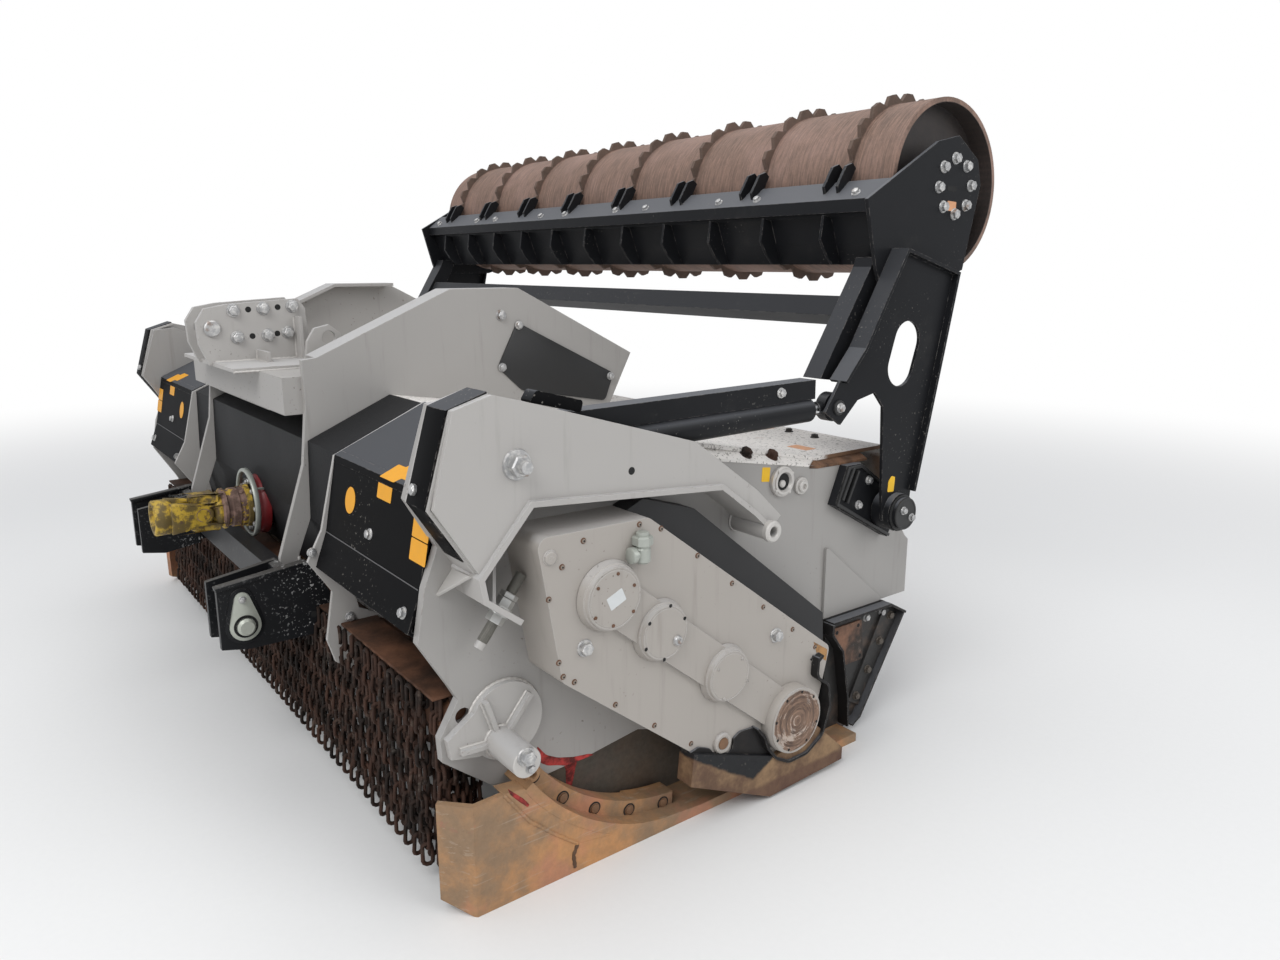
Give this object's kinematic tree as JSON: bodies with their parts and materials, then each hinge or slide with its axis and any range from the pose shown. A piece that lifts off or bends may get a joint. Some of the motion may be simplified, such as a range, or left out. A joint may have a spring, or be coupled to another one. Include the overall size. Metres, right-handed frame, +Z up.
{
  "type": "forestry mulcher",
  "caption": "Tractor-mounted forestry mulcher with a toothed rotor in a skid-borne hood, side gear cases, a chain curtain and a ringed packer roller on lifting arms.",
  "frame": {"origin": "middle of the machine's bounding box, on the ground plane of the skid soles", "axes": "+X towards the machine's left, -Y towards the hitch at the front, +Z up"},
  "size_m": [3.284, 2.3927, 2.0297],
  "materials": {
    "black_paint": "satin black paint",
    "chain_steel": "dark rusty chain",
    "drive_paint": "worn yellow and red paint",
    "frame_paint": "warm light grey paint, worn",
    "rod_chrome": "chromed rod",
    "roller_steel": "brown rusty steel tube",
    "rusty_steel": "rusty worn steel",
    "seal_rubber": "black rubber strip"
  },
  "bodies": {
    "frame": {"centre_gearbox": "frame_paint", "chain_curtain": "chain_steel", "front_frame": "frame_paint", "hood": "frame_paint", "left_arm_bracket": "black_paint", "left_case_shield": "rusty_steel", "left_cheek": "frame_paint", "left_front_cover": "black_paint", "left_gear_case": "frame_paint", "left_guard": "frame_paint", "left_hitch_clevis": "black_paint", "left_panel": "frame_paint", "left_seal_strip": "seal_rubber", "left_side_plate": "frame_paint", "left_skid": "rusty_steel", "left_support_pad": "frame_paint", "left_wear_plate": "black_paint", "push_bar": "rusty_steel", "right_arm_bracket": "black_paint", "right_case_shield": "rusty_steel", "right_cheek": "frame_paint", "right_front_cover": "black_paint", "right_gear_case": "frame_paint", "right_guard": "frame_paint", "right_hitch_clevis": "black_paint", "right_panel": "frame_paint", "right_seal_strip": "seal_rubber", "right_side_plate": "frame_paint", "right_skid": "rusty_steel", "right_support_pad": "frame_paint", "right_wear_plate": "black_paint", "top_link_tower": "frame_paint"},
    "rotor": {"rotor": "rusty_steel"},
    "input_shaft": {"input_shaft": "drive_paint"},
    "roller_arms": {"left_end_plate": "black_paint", "left_roller_arm": "black_paint", "right_end_plate": "black_paint", "right_roller_arm": "black_paint", "roller_frame": "black_paint"},
    "roller": {"roller": "roller_steel"},
    "left_barrel": {"left_lift_cylinder": "black_paint", "left_cylinder_cover": "black_paint"},
    "left_rod": {"left_lift_rod": "rod_chrome"},
    "right_barrel": {"right_lift_cylinder": "black_paint", "right_cylinder_cover": "black_paint"},
    "right_rod": {"right_lift_rod": "rod_chrome"}
  },
  "joints": [
    {"name": "rotor_spin", "type": "hinge", "parent": "frame", "child": "rotor", "pos_m": [0, 0.115, 0.233], "axis": [1, 0, 0], "continuous": true},
    {"name": "input_spin", "type": "hinge", "parent": "frame", "child": "input_shaft", "pos_m": [0, -0.9, 0.69], "axis": [0, 1, 0], "continuous": true},
    {"name": "roller_arm_lift", "type": "hinge", "parent": "frame", "child": "roller_arms", "pos_m": [0, 0.65, 0.74], "axis": [1, 0, 0], "range_deg": [-101.5, 0]},
    {"name": "roller_spin", "type": "hinge", "parent": "roller_arms", "child": "roller", "pos_m": [0, 0.902, 1.735], "axis": [1, 0, 0], "continuous": true},
    {"name": "left_cylinder_swing", "type": "hinge", "parent": "frame", "child": "left_barrel", "pos_m": [1.491, -0.73, 1.078], "axis": [1, 0, 0], "range_deg": [-5.09, 0.05]},
    {"name": "left_rod_slide", "type": "slide", "parent": "left_barrel", "child": "left_rod", "axis": [0, 0.9999, 0.0155], "range_m": [-0.0005, 0.6948]},
    {"name": "right_cylinder_swing", "type": "hinge", "parent": "frame", "child": "right_barrel", "pos_m": [-1.491, -0.73, 1.078], "axis": [1, 0, 0], "range_deg": [-5.09, 0.05]},
    {"name": "right_rod_slide", "type": "slide", "parent": "right_barrel", "child": "right_rod", "axis": [0, 0.9999, 0.0155], "range_m": [-0.0005, 0.6948]}
  ],
  "couplings": [
    {"joint": "input_spin", "follows": "rotor_spin", "ratio": 1},
    {"joint": "left_cylinder_swing", "follows": "roller_arm_lift", "ratio": 0.049651},
    {"joint": "left_rod_slide", "follows": "roller_arm_lift", "m_per_rad": -0.3919},
    {"joint": "right_cylinder_swing", "follows": "roller_arm_lift", "ratio": 0.049651},
    {"joint": "right_rod_slide", "follows": "roller_arm_lift", "m_per_rad": -0.3919}
  ]
}
